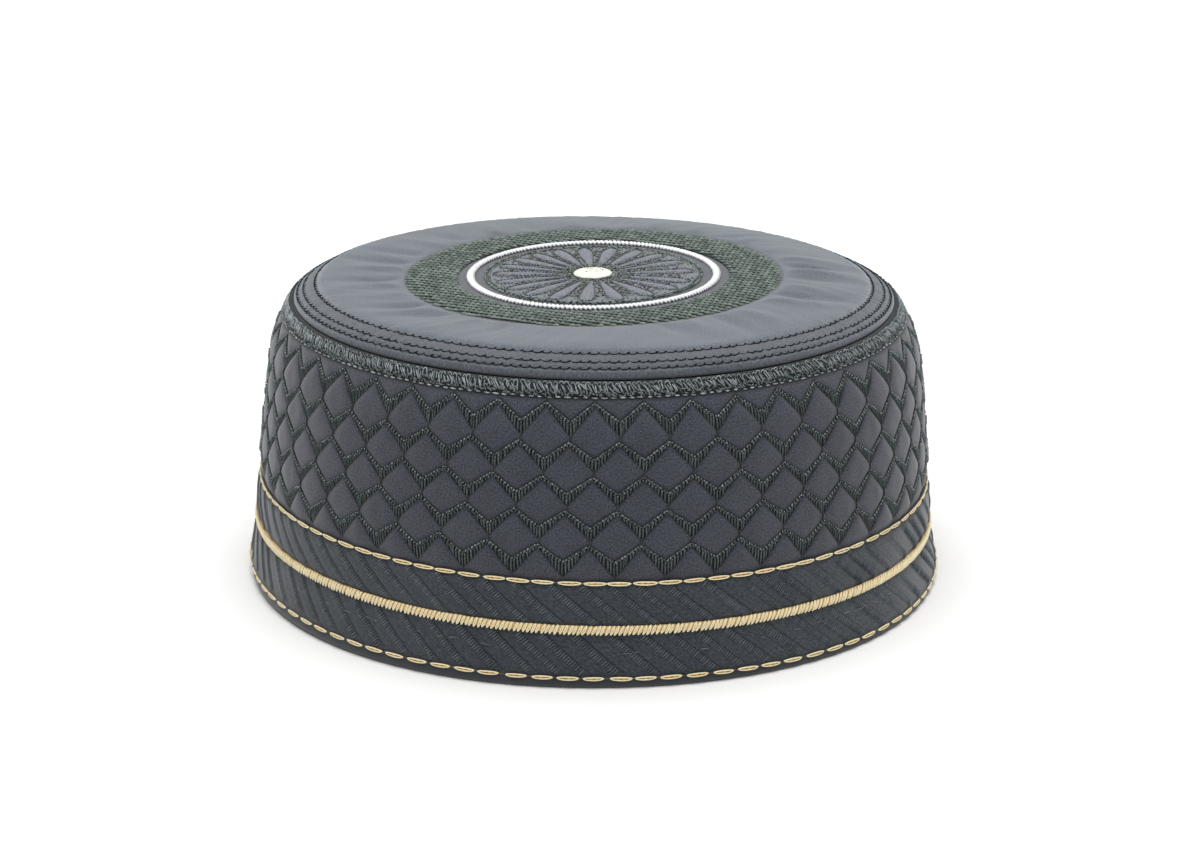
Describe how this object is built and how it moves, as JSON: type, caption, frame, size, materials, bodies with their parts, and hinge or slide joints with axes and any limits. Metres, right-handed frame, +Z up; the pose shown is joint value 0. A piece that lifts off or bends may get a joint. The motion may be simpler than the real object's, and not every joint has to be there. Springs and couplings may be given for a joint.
{
  "type": "kufi",
  "caption": "Stiff round flat-topped cloth cap with a diamond-quilted wall, ribbed hem band, gold stitched lines and an embroidered round medallion on the crown.",
  "frame": {"origin": "on the cap's axis in the plane of the rim, where the cap rests", "axes": "+Z up along the cap's axis, the front of the cap towards -Y"},
  "size_m": [0.1908, 0.1908, 0.0812],
  "materials": {
    "wall_cloth": "matte woven cloth",
    "crown_cloth": "matte woven cloth",
    "band_cloth": "matte ribbed cloth",
    "braid_thread": "grey-green overlock thread",
    "gold_chain_thread": "pale gold embroidery thread",
    "gold_cord_thread": "pale gold satin stitch",
    "gold_hem_thread": "pale gold embroidery thread",
    "green_thread": "green chain-stitch embroidery",
    "white_thread": "white satin stitch",
    "rope_thread": "dark green rope stitch",
    "rosette_cloth": "stitched cloth petals",
    "button_cream": "cream thread-covered button"
  },
  "bodies": {
    "root": {"ribbed_band": "band_cloth", "quilted_wall": "wall_cloth", "crown": "crown_cloth", "braid_band": "braid_thread", "gold_chain_upper": "gold_chain_thread", "gold_cord_middle": "gold_cord_thread", "gold_chain_lower": "gold_hem_thread", "green_ring": "green_thread", "white_ring": "white_thread", "rope_ring": "rope_thread", "rosette": "rosette_cloth", "centre_button": "button_cream"}
  },
  "joints": []
}
